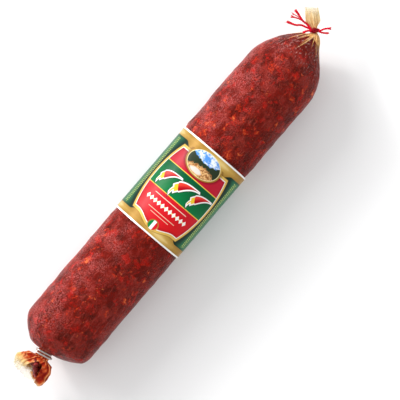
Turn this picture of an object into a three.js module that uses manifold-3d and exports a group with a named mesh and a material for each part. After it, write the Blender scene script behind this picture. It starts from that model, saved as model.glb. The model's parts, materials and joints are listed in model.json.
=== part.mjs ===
// A whole cured sausage (salami), lying on a table on a slightly flattened strip of its belly.
//
// Coarse cured meat fills one natural casing. One end of the casing is gathered to a neck and tied
// with twine, the other is closed by a wire clip, and past each of them the casing runs on as a tail.
// A printed paper band is glued round the middle.
//
// Millimetres, +Z up. +X runs along the sausage towards the tied end. The origin is on the table,
// under the middle of the label.

import * as THREE from 'three';
import { ParametricGeometry } from 'three/addons/geometries/ParametricGeometry.js';
import { mergeVertices } from 'three/addons/utils/BufferGeometryUtils.js';
import Module from 'manifold-3d';

const wasm = await Module();
wasm.setup();

const { degToRad, lerp, clamp, smoothstep } = THREE.MathUtils;

// ---- Driving dimensions -------------------------------------------------------------------------

const LENGTH = 349.8; // along the middle line, from the clip to the tie
const DIAMETER = 65; // over the casing
const BELLY_WIDTH = 14; // of the flat strip that the sausage lies on

const FILM = 0.5; // thickness of the casing
const CLEARANCE = 0.3; // between pieces that touch

const CONE_LENGTH = 48; // of the long shoulder at the tied end
const BLUNT_LENGTH = 18.5; // of the short shoulder at the clipped end

const TIED_NECK_WIDTH = 4; // gathered casing inside the twine, round
const CLIP_NECK_WIDTH = 11.2; // gathered casing inside the clip, pressed flat
const CLIP_NECK_DEPTH = 4.4;
const CHANNEL_WIDTH = 1.6; // what stays open down the middle of a gathered neck

const TIED_TAIL_LENGTH = 19.5; // from the tie to the cut edge
const TIED_TAIL_WIDTH = 10.4;
const TIED_TAIL_DEPTH = 4.6;
const CLIP_TAIL_LENGTH = 24.5; // from the clip to the ragged edge
const CLIP_TAIL_WIDTH = 30;
const CLIP_TAIL_DEPTH = 17;
const RESIDUE_LENGTH = 13; // meat caught in the tail past the clip

const TWINE = 1.5; // diameter
const KNOT_WIDTH = 4.6;
const KNOT_HEIGHT = 3;
const WIRE = 1.8; // diameter of the clip's wire
const CLIP_GAP = 0.85; // between the clip's two legs, side by side
const CLIP_TILT = degToRad(8); // of the legs across the neck

const LABEL_WIDTH = 87;
const LABEL_SHIFT = 0.4; // of the label's middle from the middle of the length, towards the tie
const LABEL_THICKNESS = 0.3;
const LABEL_LAP = 10; // how far the glued end lies over the other, round the sausage

const PLEATS = 9; // folds round a gathered neck
const PLEAT_DEPTH = 0.09; // as a share of the neck's size

const FACETS = 36; // round the sausage

// ---- Places that follow from them ---------------------------------------------------------------

const radius = DIAMETER / 2;
const labelInside = radius + CLEARANCE;
const labelOutside = labelInside + LABEL_THICKNESS;
const bellyAngle = Math.asin(BELLY_WIDTH / 2 / labelOutside);
const axisHeight = labelOutside * Math.cos(bellyAngle);

const tieAt = LENGTH / 2 - LABEL_SHIFT;
const clipAt = -LENGTH / 2 - LABEL_SHIFT;
const turnStep = TWINE + CLEARANCE; // from one turn of the twine to the next
const legStep = WIRE + CLIP_GAP; // from one leg of the clip to the other
const clipReach = (legStep + WIRE) / 2 + (CLIP_NECK_WIDTH / 2 + WIRE) * Math.tan(CLIP_TILT);
const coneEnd = tieAt - turnStep - CLEARANCE;
const bluntEnd = clipAt + clipReach + CLEARANCE;
const tiedTailStart = tieAt + turnStep + CLEARANCE;
const clipTailStart = clipAt - clipReach - CLEARANCE;
const tiedTailEnd = tieAt + TIED_TAIL_LENGTH;
const clipTailEnd = clipAt - CLIP_TAIL_LENGTH;

// The middle line seen from above, outwards from the label. The body is straight, and each neck
// leans over in arcs. Each stretch has its length and the angle that it turns through.
const tiedRoute = [[tieAt - 8.5, 0], [10, degToRad(48)], [LENGTH, 0]];
const clipRoute = [
  [-clipAt - 14, 0], [10, degToRad(-6)], [8, 0], [8, degToRad(15)], [LENGTH, 0],
];

// The middle line's place at distance s from the label, and the way it heads there.
function middleLine(s) {
  let [x, y, heading, left] = [0, 0, 0, Math.abs(s)];
  for (const [length, turn] of s > 0 ? tiedRoute : clipRoute) {
    const run = Math.min(length, left);
    const angle = (turn * run) / length;
    const chord = turn ? ((2 * length) / turn) * Math.sin(angle / 2) : run;
    x += chord * Math.cos(heading + angle / 2);
    y += chord * Math.sin(heading + angle / 2);
    heading += angle;
    left -= run;
  }
  return s > 0 ? { x, y, heading } : { x: -x, y, heading: -heading };
}

// The point at s that is this far to the left of the middle line and this far above it.
function place(s, left, up, target = new THREE.Vector3()) {
  const { x, y, heading } = middleLine(s);
  return target.set(x - left * Math.sin(heading), y + left * Math.cos(heading), axisHeight + up);
}

// ---- The casing's outline -----------------------------------------------------------------------

// Half the width and half the depth of the casing at s, and how thick it is there: one film on the
// body and at the open ends, and a bundle of folds round a narrow channel in the necks.
function outline(s) {
  const tied = s > 0;
  const neck = tied
    ? [TIED_NECK_WIDTH / 2, TIED_NECK_WIDTH / 2]
    : [CLIP_NECK_WIDTH / 2, CLIP_NECK_DEPTH / 2];
  const bundle = neck[1] - CHANNEL_WIDTH / 2;
  if (s >= bluntEnd && s <= coneEnd) {
    const along = tied
      ? clamp((coneEnd - s) / CONE_LENGTH, 0, 1)
      : clamp((s - bluntEnd) / BLUNT_LENGTH, 0, 1);
    const share = tied ? 1 - (1 - along) ** 1.9 : (1 - (1 - along) ** 2) ** 0.625;
    return { half: neck.map((n) => lerp(n, radius, share)), film: FILM, body: true };
  }
  const tail = tied
    ? [TIED_TAIL_WIDTH / 2, TIED_TAIL_DEPTH / 2]
    : [CLIP_TAIL_WIDTH / 2, CLIP_TAIL_DEPTH / 2];
  const open = tied
    ? smoothstep(s, tiedTailStart, lerp(tiedTailStart, tiedTailEnd, 0.35))
    : Math.sin(1.9 * clamp((clipTailStart - s) / (clipTailStart - clipTailEnd), 0, 1)) ** 0.65;
  return { half: neck.map((n, i) => lerp(n, tail[i], open)), film: lerp(bundle, FILM, open) };
}

// The angle of each corner round the sausage: the belly is one wide flat facet, and the rest is even.
function corner(share) {
  const facet = (share % 1) * FACETS;
  const rest = (2 * Math.PI - 2 * bellyAngle) / (FACETS - 1);
  const angle = facet < 1 ? (2 * facet - 1) * bellyAngle : bellyAngle + (facet - 1) * rest;
  return angle - Math.PI / 2;
}

// How the pleats move the surface in and out: not on the body, fully in the necks and tails.
function pleat(s, angle) {
  const share = Math.max(smoothstep(s, coneEnd - 14, coneEnd), 1 - smoothstep(s, bluntEnd, bluntEnd + 5));
  return 1 + PLEAT_DEPTH * share * Math.cos(PLEATS * angle);
}

// One ring of a surface that follows the casing's: at s, at a depth below the outside, scaled down.
function ring(s, depth = 0, scale = 1) {
  const { half, body } = outline(s);
  const step = 0.05;
  const slope = body ? (outline(s + step).half[0] - outline(s - step).half[0]) / (2 * step) : 0;
  const across = depth / Math.hypot(1, slope);
  return { s: s + across * slope, half: half.map((h) => (h - across) * scale) };
}

// A closed surface through rings. A last ring like the first makes a tube with a wall.
function skin(rings) {
  return new ParametricGeometry((u, v, target) => {
    const { s, half } = rings[Math.round(v * (rings.length - 1))];
    const angle = corner(u);
    const fold = pleat(s, angle);
    place(s, half[0] * fold * Math.cos(angle), half[1] * fold * Math.sin(angle), target);
  }, FACETS, rings.length - 1);
}

// Even steps from one place to another, without the last.
function steps(from, to, count, power = 1) {
  return Array.from({ length: count }, (_, i) => lerp(from, to, (i / count) ** power));
}

// ---- Casing and the meat in it ------------------------------------------------------------------

const bodyStations = [
  ...steps(bluntEnd, bluntEnd + BLUNT_LENGTH, 9, 2),
  ...steps(bluntEnd + BLUNT_LENGTH, coneEnd - CONE_LENGTH, 4),
  ...steps(coneEnd - CONE_LENGTH, coneEnd, 13),
];

function makeCasing() {
  const stations = [
    ...steps(clipTailEnd, clipTailStart, 7),
    ...steps(clipTailStart, bluntEnd - CLEARANCE, 2),
    bluntEnd - CLEARANCE,
    ...bodyStations,
    coneEnd,
    ...steps(coneEnd + CLEARANCE, tiedTailStart, 3),
    ...steps(tiedTailStart, tiedTailEnd, 6),
    tiedTailEnd,
  ];
  const outside = stations.map((s) => ring(s));
  const inside = stations.map((s) => ring(s, outline(s).film)).reverse();
  return skin([...outside, ...inside, outside[0]]);
}

function makeFilling() {
  const depth = FILM + CLEARANCE;
  const noseLength = 3;
  const shoulder = bodyStations.at(-1) - noseLength;
  const main = bodyStations.filter((s) => s < shoulder).map((s) => ring(s, depth));
  const nose = [0, 0.5, 0.85, 1].map((t) =>
    ring(shoulder + noseLength * t, depth, Math.sqrt(1 - t * t)));
  return skin([ring(bluntEnd, depth, 0), ...main, ...nose]);
}

function makeTailFilling() {
  const start = lerp(clipTailStart, clipTailEnd, 0.1);
  const rings = [0, 0.08, 0.3, 0.55, 0.8, 0.95, 1].map((t) => {
    const s = start - RESIDUE_LENGTH * t;
    return ring(s, outline(s).film + CLEARANCE, Math.sqrt(1 - (2 * t - 1) ** 4));
  });
  return skin(rings.reverse());
}

// ---- Wire clip ----------------------------------------------------------------------------------

// A wire bent flat round the neck: once round and on over the top, the two ends lying side by side.
class ClipWire extends THREE.Curve {
  getPoint(t, target) {
    const reach = (1 + PLEAT_DEPTH) / 2;
    const halfWidth = CLIP_NECK_WIDTH * reach + CLEARANCE + WIRE / 2;
    const halfDepth = CLIP_NECK_DEPTH * reach + CLEARANCE + WIRE / 2;
    const angle = degToRad(lerp(130, -310, t));
    const [cos, sin] = [Math.cos(angle), Math.sin(angle)];
    const lane = lerp(0.5, -0.5, smoothstep(t, 0.3, 0.7)) * legStep;
    const squarish = (n) => Math.sign(n) * Math.abs(n) ** 0.7;
    const left = halfWidth * squarish(cos);
    return place(clipAt + lane - left * Math.tan(CLIP_TILT), left, halfDepth * squarish(sin), target);
  }
}

// ---- Twine --------------------------------------------------------------------------------------

// The free ends, from the knot out, in millimetres from the middle of the knot.
const TWINE_ENDS = [
  [[0, 0, 0], [-1.1, 3.2, 0.2], [-0.4, 8.8, 0.8], [-0.6, 12.8, 1.6], [1.3, 19.4, 2], [2, 23, 2.6]],
  [[-0.6, 12.8, 1.6], [-1.7, 17, 2.2], [-4.1, 22.3, 2.2]],
  [[0, 0, 0], [-2.6, 6.9, 0], [-4.1, 11.5, 0.4], [-7.1, 15.2, 1.2], [-9.5, 21.9, 1]],
  [[0, 0, 0], [-4.4, 4.4, 1.2], [-7.8, 6.2, 2]],
  [[0, 0, 0], [2.2, -3.1, -0.2], [6.3, -5.4, 0.6], [9.6, -8.8, 0.8]],
  [[0, 0, 0], [1.6, -3.4, -0.4], [2.7, -6.1, -1], [5.5, -9.9, -1.4]],
];

// A rod of round section along a curve.
function rod(curve, diameter, sides, count) {
  const section = new THREE.Shape().absarc(0, 0, diameter / 2, 0, 2 * Math.PI);
  return new THREE.ExtrudeGeometry(section, {
    extrudePath: curve, steps: count, curveSegments: sides / 2, bevelEnabled: false,
  });
}

// Only the places and the triangles, with the corners that lie together made one.
function welded(geometry) {
  geometry.deleteAttribute('normal');
  geometry.deleteAttribute('uv');
  return mergeVertices(geometry);
}

function toSolid(geometry) {
  const shape = welded(geometry);
  return new wasm.Manifold(new wasm.Mesh({
    numProp: 3,
    vertProperties: Float32Array.from(shape.attributes.position.array),
    triVerts: Uint32Array.from(shape.index.array),
  }));
}

function fromSolid(solid) {
  const { vertProperties, triVerts } = solid.getMesh();
  const geometry = new THREE.BufferGeometry();
  geometry.setAttribute('position', new THREE.BufferAttribute(vertProperties, 3));
  geometry.setIndex(new THREE.BufferAttribute(triVerts, 1));
  return geometry;
}

// Two turns round the neck, a knot on top, and the free ends that leave it.
function makeTwine() {
  const { heading } = middleLine(tieAt);
  const neck = (TIED_NECK_WIDTH / 2) * (1 + PLEAT_DEPTH) + CLEARANCE;
  const turns = [-0.5, 0.5].map((side) => {
    const turn = new THREE.TorusGeometry(neck + TWINE / 2, TWINE / 2, 8, 28);
    const middle = place(tieAt + side * turnStep, 0, 0);
    return turn.rotateY(Math.PI / 2).rotateZ(heading).translate(middle.x, middle.y, middle.z);
  });
  const middle = place(tieAt, 0, neck + KNOT_HEIGHT / 2);
  const knot = new THREE.SphereGeometry(1, 14, 10);
  knot.scale(KNOT_WIDTH / 2, KNOT_WIDTH / 2, KNOT_HEIGHT / 2).translate(...middle);
  const ends = TWINE_ENDS.map((points) => {
    const route = points.map((point) => new THREE.Vector3(...point).add(middle));
    return rod(new THREE.CatmullRomCurve3(route), TWINE, 8, 2 * points.length);
  });
  return fromSolid(wasm.Manifold.union([...turns, knot, ...ends].map(toSolid)));
}

// ---- Label --------------------------------------------------------------------------------------

// A band of paper round the sausage. Its last stretch rises over its first, where it is glued.
function makeLabel() {
  const corners = Array.from({ length: 2 * FACETS }, (_, i) =>
    corner((i % FACETS) / FACETS) + 2 * Math.PI * Math.floor(i / FACETS));
  const start = corners[FACETS - 4];
  const lapStart = start + 2 * Math.PI;
  const end = lapStart + LABEL_LAP / labelOutside;
  const angles = [...corners, ...corners.map((a) => a + 2 * Math.PI)]
    .sort((a, b) => a - b)
    .filter((a, i, all) => a >= start && a < end && a !== all[i - 1]);
  const lift = (angle) =>
    (LABEL_THICKNESS + CLEARANCE) * smoothstep(angle, corners[2 * FACETS - 6], corners[2 * FACETS - 5]);
  const arc = (distance) => [...angles, end].map((angle) =>
    new THREE.Vector2(Math.cos(angle), Math.sin(angle)).multiplyScalar(distance + lift(angle)));
  const band = new THREE.Shape([...arc(labelOutside), ...arc(labelInside).reverse()]);
  return new THREE.ExtrudeGeometry(band, { depth: LABEL_WIDTH, bevelEnabled: false });
}

// ---- The assembly -------------------------------------------------------------------------------

const sausage = new THREE.Group();

function add(name, geometry, color, roughness, metalness = 0) {
  const material = new THREE.MeshStandardMaterial({ color, roughness, metalness });
  const mesh = new THREE.Mesh(welded(geometry), material);
  mesh.name = name;
  sausage.add(mesh);
  return mesh;
}

add('filling', makeFilling(), '#7d1f16', 0.6);
add('tail_filling', makeTailFilling(), '#8a2414', 0.6);
add('casing', makeCasing(), '#a8452c', 0.35);
add('end_clip', rod(new ClipWire(), WIRE, 10, 44), '#c9c5c0', 0.3, 1);
add('tie_string', makeTwine(), '#c4122a', 0.8);

// The band is drawn across the sausage and extruded along it.
const label = add('label', makeLabel(), '#1f7a4a', 0.45);
label.position.set(-LABEL_WIDTH / 2, 0, axisHeight);
label.rotation.setFromRotationMatrix(new THREE.Matrix4().makeBasis(
  new THREE.Vector3(0, 1, 0), new THREE.Vector3(0, 0, 1), new THREE.Vector3(1, 0, 0)));

export default sausage;
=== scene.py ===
import itertools
import json
import math

import bpy
import numpy as np
from mathutils import Matrix, Vector

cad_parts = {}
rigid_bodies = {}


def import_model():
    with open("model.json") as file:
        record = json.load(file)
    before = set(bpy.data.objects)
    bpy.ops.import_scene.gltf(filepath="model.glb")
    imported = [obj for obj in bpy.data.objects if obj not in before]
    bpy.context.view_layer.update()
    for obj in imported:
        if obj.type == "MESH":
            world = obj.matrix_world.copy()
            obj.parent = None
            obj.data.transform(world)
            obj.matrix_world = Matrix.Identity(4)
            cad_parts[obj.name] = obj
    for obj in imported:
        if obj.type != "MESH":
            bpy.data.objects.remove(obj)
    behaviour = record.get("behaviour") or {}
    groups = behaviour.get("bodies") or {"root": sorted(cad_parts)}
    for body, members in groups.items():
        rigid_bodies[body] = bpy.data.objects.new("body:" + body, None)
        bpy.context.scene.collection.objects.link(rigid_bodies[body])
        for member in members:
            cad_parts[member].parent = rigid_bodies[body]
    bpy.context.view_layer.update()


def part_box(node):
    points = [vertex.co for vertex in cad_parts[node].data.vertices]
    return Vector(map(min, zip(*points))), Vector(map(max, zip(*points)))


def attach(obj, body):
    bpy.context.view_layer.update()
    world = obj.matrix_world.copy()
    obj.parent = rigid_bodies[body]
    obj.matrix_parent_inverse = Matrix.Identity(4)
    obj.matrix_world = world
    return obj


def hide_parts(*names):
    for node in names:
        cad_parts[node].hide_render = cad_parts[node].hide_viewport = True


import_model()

MM = 0.001
PER_METRE = 1000.0  # millimetres

# ---- Meat ---------------------------------------------------------------------------------------
# One solid mass of coarsely minced pork, cured with paprika and chilli and then dried. It was
# stuffed wet into the casing, so it takes the casing's shape, and it never shows by itself.


def fill(tree, sockets, fields):
    """Links or sets sockets, by number or by name."""
    for name, value in fields.items():
        if isinstance(value, bpy.types.NodeSocket):
            tree.links.new(value, sockets[name])
        elif isinstance(value, tuple) and sockets[name].type == "RGBA":
            sockets[name].default_value = (*value, 1)
        else:
            sockets[name].default_value = value


def node(tree, kind, fields=None, **settings):
    """Adds a shader node with its settings, and fills its sockets."""
    made = tree.nodes.new("ShaderNode" + kind)
    for name, value in settings.items():
        setattr(made, name, value)
    fill(tree, made.inputs, fields or {})
    return made


def sums(tree, operation, *values):
    return node(tree, "Math", dict(enumerate(values)), operation=operation).outputs[0]


def share_between(tree, value, low, high):
    """0 below low, 1 above high, and a smooth step from one to the other."""
    fields = {"Value": value, "From Min": low, "From Max": high}
    made = node(tree, "MapRange", fields, interpolation_type="SMOOTHSTEP")
    return made.outputs["Result"]


def blend(tree, share, below, above, how="MIX"):
    """Two colours, mixed by a share."""
    fields = {0: share, 6: below, 7: above}
    made = node(tree, "Mix", fields, data_type="RGBA", blend_type=how, clamp_factor=True)
    return made.outputs[2]


def times(tree, value, factor):
    return sums(tree, "MULTIPLY", value, factor)


def plus(tree, value, more):
    return sums(tree, "ADD", value, more)


def noise_at(tree, vector, scale, detail=2.0, roughness=0.5):
    fields = {"Vector": vector, "Scale": scale, "Detail": detail, "Roughness": roughness}
    return node(tree, "TexNoise", fields).outputs[0]


def scaled(tree, vector, factor):
    return node(tree, "VectorMath", {0: vector, "Scale": factor}, operation="SCALE").outputs[0]


def object_place(tree):
    return node(tree, "TexCoord").outputs["Object"]


def marbled_meat():
    """The look of coarse cured meat: lean, duller patches, orange fat and dark cracks between."""
    tree = bpy.data.node_groups.new("marbled meat", "ShaderNodeTree")
    tree.interface.new_socket("Place", in_out="INPUT", socket_type="NodeSocketVector")
    tree.interface.new_socket("Fat", in_out="INPUT", socket_type="NodeSocketFloat")
    for name in ("Dark", "Lean", "Bright", "Dull"):
        tree.interface.new_socket(name, in_out="INPUT", socket_type="NodeSocketColor")
    tree.interface.new_socket("Colour", in_out="OUTPUT", socket_type="NodeSocketColor")
    for name in ("Fleck", "Height"):
        tree.interface.new_socket(name, in_out="OUTPUT", socket_type="NodeSocketFloat")
    given = tree.nodes.new("NodeGroupInput").outputs
    in_mm = scaled(tree, given["Place"], PER_METRE)

    def noise(size, detail, roughness, seed, vector=in_mm):
        """Noise in lumps of this size in mm; the seed moves it to another place."""
        moved = node(tree, "VectorMath", {0: vector, 1: (seed, -seed, 2 * seed)}).outputs[0]
        return noise_at(tree, moved, 1 / size, detail, roughness)

    # Every lump's outline wanders, as the grinder's plate tears the meat.
    warp = node(tree, "TexNoise", {"Vector": in_mm, "Scale": 1 / 5.0, "Detail": 2.0})
    warp = node(tree, "VectorMath", {0: warp.outputs["Color"], 1: (0.5, 0.5, 0.5)}, operation="SUBTRACT")
    torn = node(tree, "VectorMath", {0: in_mm, 1: scaled(tree, warp.outputs[0], 7.0)}).outputs[0]

    lean = share_between(tree, noise(10.0, 4.0, 0.6, 3.1, torn), 0.32, 0.62)
    colour = blend(tree, lean, given["Dark"], given["Lean"])
    bright = share_between(tree, noise(7.0, 4.0, 0.6, 9.4, torn), 0.53, 0.66)
    colour = blend(tree, times(tree, bright, 0.85), colour, given["Bright"])
    dull = share_between(tree, noise(12.0, 4.0, 0.6, 21.7, torn), 0.5, 0.64)
    colour = blend(tree, times(tree, dull, 0.8), colour, given["Dull"])

    cells = node(tree, "TexVoronoi", {"Vector": torn, "Scale": 1 / 3.2}, feature="DISTANCE_TO_EDGE")
    crack = share_between(tree, cells.outputs["Distance"], 0.11, 0.0)
    crack = times(tree, crack, share_between(tree, noise(9.0, 2.0, 0.5, 5.5), 0.42, 0.6))
    colour = blend(tree, times(tree, crack, 0.55), colour, given["Dark"])

    where = share_between(tree, noise(17.0, 2.0, 0.5, 14.2), 0.36, 0.64)
    fat = plus(tree, noise(5.5, 3.0, 0.6, 41.0, torn), times(tree, where, 0.11))
    fat = plus(tree, fat, times(tree, given["Fat"], 0.05))
    core = share_between(tree, fat, 0.77, 0.9)
    fat = share_between(tree, fat, 0.68, 0.8)
    sparse = times(tree, noise(8.0, 2.0, 0.5, 52.0), 0.35)
    crumbs = share_between(tree, plus(tree, noise(1.9, 2.0, 0.55, 31.0, torn), sparse), 0.83, 0.95)
    fleck = sums(tree, "MAXIMUM", fat, times(tree, crumbs, 0.6))
    pale = sums(tree, "MAXIMUM", core, crumbs)
    orange = blend(tree, pale, (0.46, 0.022, 0.005), (0.78, 0.17, 0.045))
    colour = blend(tree, times(tree, fleck, 0.85), colour, orange)

    height = plus(tree, times(tree, lean, 0.3), times(tree, fleck, 0.35))
    height = plus(tree, height, times(tree, crack, -0.45))
    height = plus(tree, height, times(tree, noise(1.3, 3.0, 0.6, 0.0), 0.4))
    out = tree.nodes.new("NodeGroupOutput")
    fill(tree, out.inputs, {"Colour": colour, "Fleck": fleck, "Height": height})
    return tree


def new_material(name, **constants):
    """A material with one Principled node, whose plain numbers are set on its own sockets."""
    material = bpy.data.materials.new(name)
    material.use_nodes = True
    shader = material.node_tree.nodes["Principled BSDF"]
    for socket, value in constants.items():
        shader.inputs[socket.replace("_", " ")].default_value = value
    return material, material.node_tree, shader


def surface(tree, shader, colour, rough, height, strength, depth):
    """Links a material's colour and roughness, and its bump, whose depth is in metres."""
    bump = node(tree, "Bump", {"Height": height, "Strength": strength, "Distance": depth}).outputs[0]
    fill(tree, shader.inputs, {"Base Color": colour, "Roughness": rough, "Normal": bump})


def meat_look(tree, place, fat=1.0, dark=(0.075, 0.004, 0.001), lean=(0.18, 0.006, 0.002),
              bright=(0.43, 0.009, 0.004), dull=(0.25, 0.021, 0.014)):
    fields = {"Place": place, "Fat": fat, "Dark": dark, "Lean": lean, "Bright": bright, "Dull": dull}
    return node(tree, "Group", fields, node_tree=MARBLING).outputs


MARBLING = marbled_meat()
meat, tree, shader = new_material("cured meat", Specular_IOR_Level=0.3)
look = meat_look(tree, object_place(tree), fat=1.6, dull=(0.3, 0.09, 0.08))
rough = share_between(tree, look["Fleck"], -0.6, 1.6)
surface(tree, shader, look["Colour"], rough, look["Height"], 0.6, 0.0008)

filling = next(o for o in bpy.data.objects if o.type == "MESH" and o.name.startswith("filling"))
filling.data.materials.clear()
filling.data.materials.append(meat)

# ---- Casing -------------------------------------------------------------------------------------
# A natural gut, stuffed tight and dried, so that the meat shows through its film all the way. One
# end is gathered in fine pleats to a thin neck for the twine and ends in a pale tail that was cut
# straight; the other is pinched short by the clip, and its tail is crumpled, stained and torn.

RADIUS = 32.5  # all of these in millimetres, along and across the sausage
AXIS_HEIGHT = 32.35
BELLY = 31.77  # from the middle line down to the flat strip of the belly
TIE, CLIP = 174.5, -175.3  # along the middle line, from the middle of the label
CONE_END, CONE_LENGTH = 172.4, 48.0
BLUNT_END, BLUNT_LENGTH = -171.7, 18.5
TIED_TAIL, TIED_TAIL_END = 176.6, 194.0
CLIP_TAIL, CLIP_TAIL_END = -178.87, -199.8
TIED_NECK = 2  # half the width of the gathered neck in the twine
CLIP_NECK = 5.6, 2.2  # half the width and half the depth of the one in the clip
PLEATED = 26  # of the tied shoulder, where pleats take over from the lumps of meat
LYING_REACH = 165  # how far from the label the belly is flat
TABLE_GAP = 0.5  # the least that the casing stays above the table
TIED_ROUTE = ((166.0, 0.0), (10.0, math.radians(48)), (400.0, 0.0))
CLIP_ROUTE = ((161.3, 0.0), (10.0, math.radians(-6)), (8.0, 0.0), (8.0, math.radians(15)),
              (400.0, 0.0))
FILM, TAIL_FILM = 0.35, 0.7  # the casing's thickness, and the tail's as a share of it
TIED_WALL, CLIP_WALL = 1.2, 1.4  # of the gathered necks
AROUND = 216  # points round the casing
TIED_COUNT, CLIP_COUNT = 28, 15  # pleats
SKIN_MARKS = "bare", "stain", "frill", "ridge", "painted_glints", "painted_groove_shade"


def ease(low, high, value):
    t = np.clip((value - low) / (high - low), 0, 1)
    return t * t * (3 - 2 * t)


def middle_line(s):
    """Where the middle line is at distance s from the label, and the way it heads there."""
    found = []
    for route in (TIED_ROUTE, CLIP_ROUTE):
        left, x, y, heading = np.abs(s), 0 * s, 0 * s, 0 * s
        for length, turn in route:
            run = np.clip(left, 0, length)
            angle = turn * run / length
            chord = 2 * length / turn * np.sin(angle / 2) if turn else run
            x = x + chord * np.cos(heading + angle / 2)
            y = y + chord * np.sin(heading + angle / 2)
            heading, left = heading + angle, left - run
        found.append((x, y, heading))
    (x1, y1, h1), (x2, y2, h2) = found
    return np.where(s > 0, x1, -x2), np.where(s > 0, y1, y2), np.where(s > 0, h1, -h2)


def place_at(s, left, up):
    """The point at s that is this far to the left of the middle line and above it, in mm."""
    x, y, heading = middle_line(s)
    return np.stack([x - left * np.sin(heading), y + left * np.cos(heading), AXIS_HEIGHT + up + 0 * x], -1)


def field(points, size, seed):
    """A smooth random height over space, from about -1 to 1, in lumps of this size."""
    at = points / size + seed * 7.31
    cell = np.floor(at).astype(np.int64)
    part = at - cell
    part = part ** 3 * (part * (part * 6 - 15) + 10)
    total = 0.0
    for corner in itertools.product((0, 1), repeat=3):
        x, y, z = (cell + corner).T
        key = (x * 73856093) ^ (y * 19349663) ^ (z * 83492791) ^ (seed * 40503)
        key = ((key ^ (key >> 13)) * 1274126177) & 0xFFFFFFFF
        height = ((key ^ (key >> 15)) & 0xFFFF) / 32767.5 - 1
        total = total + height * np.prod(np.where(corner, part, 1 - part), axis=1)
    return total


def girth(s):
    """Half the width and half the depth of the casing at s, before any fold or lump."""
    along = np.clip((CONE_END - s) / CONE_LENGTH, 0, 1)
    tied = TIED_NECK + (RADIUS - TIED_NECK) * (1 - (1 - along) ** 1.9)
    along = np.clip((s - BLUNT_END) / BLUNT_LENGTH, 0, 1)
    share = (1 - (1 - along) ** 2) ** 0.625
    clip = [half + (RADIUS - half) * share for half in CLIP_NECK]
    open_tied = ease(TIED_TAIL, TIED_TAIL + 0.35 * (TIED_TAIL_END - TIED_TAIL), s)
    out = np.clip((CLIP_TAIL - s) / (CLIP_TAIL - CLIP_TAIL_END), 0, 1)
    open_wide = 6.0 * ease(0, 0.09, out) + 3.6 * ease(0.1, 0.62, out) - 2.4 * ease(0.75, 1, out)
    open_deep = 3.4 * ease(0, 0.1, out) + 3.0 * ease(0.1, 0.5, out)
    wide = np.where(s > 0, tied + 3.2 * open_tied, clip[0] + open_wide)
    deep = np.where(s > 0, tied + 0.3 * open_tied, clip[1] + open_deep)
    return wide, deep


def turned(angle, other):
    """The way round from one angle to another, from -pi to pi."""
    return (angle - other + np.pi) % (2 * np.pi) - np.pi


chance = np.random.default_rng(11)
# Each pleat's angle, how far it reaches from the neck, its height, its breadth and its lean.
TIED_CREASES = [
    (2 * np.pi * (i + chance.uniform(-0.36, 0.36)) / TIED_COUNT, chance.uniform(13, 42),
     chance.uniform(0.5, 1.2), chance.uniform(0.34, 0.72), chance.uniform(-0.015, 0.015))
    for i in range(TIED_COUNT)
]
CLIP_CREASES = [
    (2 * np.pi * (i + chance.uniform(-0.4, 0.4)) / CLIP_COUNT, chance.uniform(7, 18),
     chance.uniform(0.35, 0.8), chance.uniform(0.6, 1.0), chance.uniform(-0.01, 0.01))
    for i in range(CLIP_COUNT)
]


def gathers(s, angle, wide):
    """The height of the pleats that run from the necks over the shoulders, and how sharp they are."""
    height, mark = 0 * s, 0 * s
    for creases, gone in ((TIED_CREASES, CONE_END - s), (CLIP_CREASES, s - BLUNT_END)):
        for middle, reach, tall, broad, lean in creases:
            fade = (1 - np.clip(gone / reach, 0, 1) ** 1.6) * ease(-0.5, 0.3, gone)
            slim = broad * np.clip(wide / 7, 0.2, 1)
            away = turned(angle, middle + lean * np.abs(gone)) * wide
            ridge = np.exp(-((away / slim) ** 2)) * fade
            height = np.maximum(height, ridge * tall * np.clip(wide / 6, 0.25, 1))
            mark = np.maximum(mark, ridge)
    return height, mark


def torn_end(angle):
    """Where the crumpled tail ends at each angle: torn back over the top, longest below."""
    top = np.exp(-((turned(angle, math.radians(98)) / 0.5) ** 4))
    right = np.exp(-((turned(angle, math.radians(180)) / 0.8) ** 2))
    left = np.exp(-((turned(angle, math.radians(20)) / 0.5) ** 2))
    ragged = np.stack([np.cos(angle) * 10, np.sin(angle) * 10, 0 * angle], -1)
    rough = 1.5 * field(ragged, 3.0, 5) + 1.0 * field(ragged, 1.2, 6)
    return CLIP_TAIL_END - 0.6 + 17.2 * top + 5.6 * right + 2.6 * left + rough * (1 - 0.5 * top)


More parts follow.
